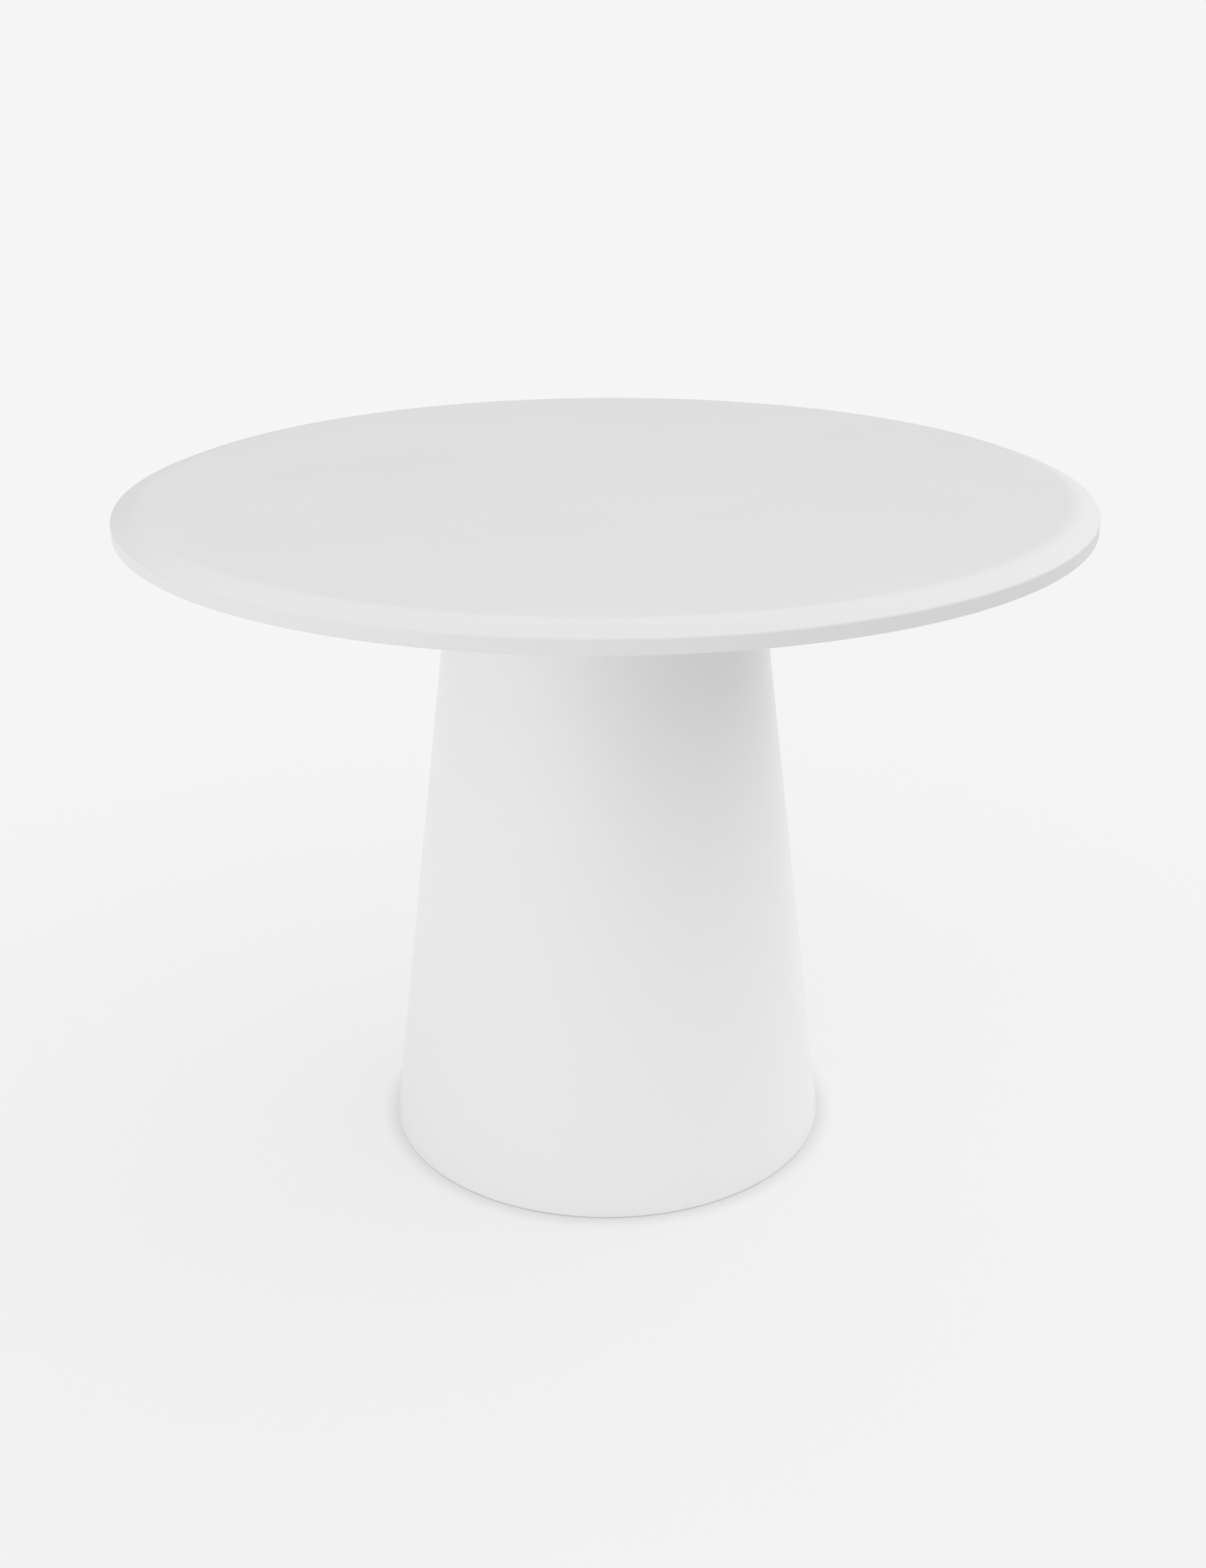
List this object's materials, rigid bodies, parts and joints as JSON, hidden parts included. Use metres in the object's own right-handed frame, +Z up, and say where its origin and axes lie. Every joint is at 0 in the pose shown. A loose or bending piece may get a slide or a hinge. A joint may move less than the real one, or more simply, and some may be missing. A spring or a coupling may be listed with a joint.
{
  "type": "round pedestal table",
  "caption": "Round dining table with a white panel top on a hollow conical pedestal, weighted inside and standing on levelling glides.",
  "frame": {"origin": "on the floor under the middle of the round top, on the pedestal's axis", "axes": "+Z up along the pedestal's axis, -Y towards the front, +X to the right"},
  "size_m": [1.016, 1.016, 0.745],
  "materials": {
    "white_lacquer_top": "satin white lacquer over fibreboard",
    "white_lacquer_shell": "satin white lacquer over a moulded shell",
    "black_rubber": "matte",
    "brass": "machined",
    "black_coated_steel": "fine textured powder coat",
    "grey_plastic": "moulded, matte",
    "grey_nylon": "moulded, matte",
    "cast_iron": "as cast, painted",
    "zinc_plated_steel": "bright zinc plate"
  },
  "bodies": {
    "table": {"tabletop_panel": "white_lacquer_top", "pedestal_shell": "white_lacquer_shell", "shell_flange": "white_lacquer_shell", "shell_gasket": "black_rubber", "top_threaded_inserts": "brass", "mounting_plate": "black_coated_steel", "column_tube": "black_coated_steel", "upper_column_collar": "black_coated_steel", "lower_column_collar": "black_coated_steel", "base_plate": "black_coated_steel", "centring_ring": "grey_plastic", "ballast_blocks": "cast_iron", "top_screws": "zinc_plated_steel", "top_washers": "zinc_plated_steel", "tie_rod": "zinc_plated_steel", "tie_rod_weld_nut": "zinc_plated_steel", "tie_rod_nut": "zinc_plated_steel", "tie_rod_washer": "zinc_plated_steel", "ballast_bolts": "zinc_plated_steel", "glide_bushes": "zinc_plated_steel", "glide_lock_nuts": "zinc_plated_steel"},
    "glide_back_right": {"glide_stem_back_right": "zinc_plated_steel", "glide_pad_back_right": "grey_nylon"},
    "glide_back_left": {"glide_stem_back_left": "zinc_plated_steel", "glide_pad_back_left": "grey_nylon"},
    "glide_front_left": {"glide_stem_front_left": "zinc_plated_steel", "glide_pad_front_left": "grey_nylon"},
    "glide_front_right": {"glide_stem_front_right": "zinc_plated_steel", "glide_pad_front_right": "grey_nylon"}
  },
  "joints": [
    {"name": "glide_back_right_height", "type": "slide", "parent": "table", "child": "glide_back_right", "axis": [0, 0, -1], "range_m": [0, 0.012]},
    {"name": "glide_back_left_height", "type": "slide", "parent": "table", "child": "glide_back_left", "axis": [0, 0, -1], "range_m": [0, 0.012]},
    {"name": "glide_front_left_height", "type": "slide", "parent": "table", "child": "glide_front_left", "axis": [0, 0, -1], "range_m": [0, 0.012]},
    {"name": "glide_front_right_height", "type": "slide", "parent": "table", "child": "glide_front_right", "axis": [0, 0, -1], "range_m": [0, 0.012]}
  ]
}
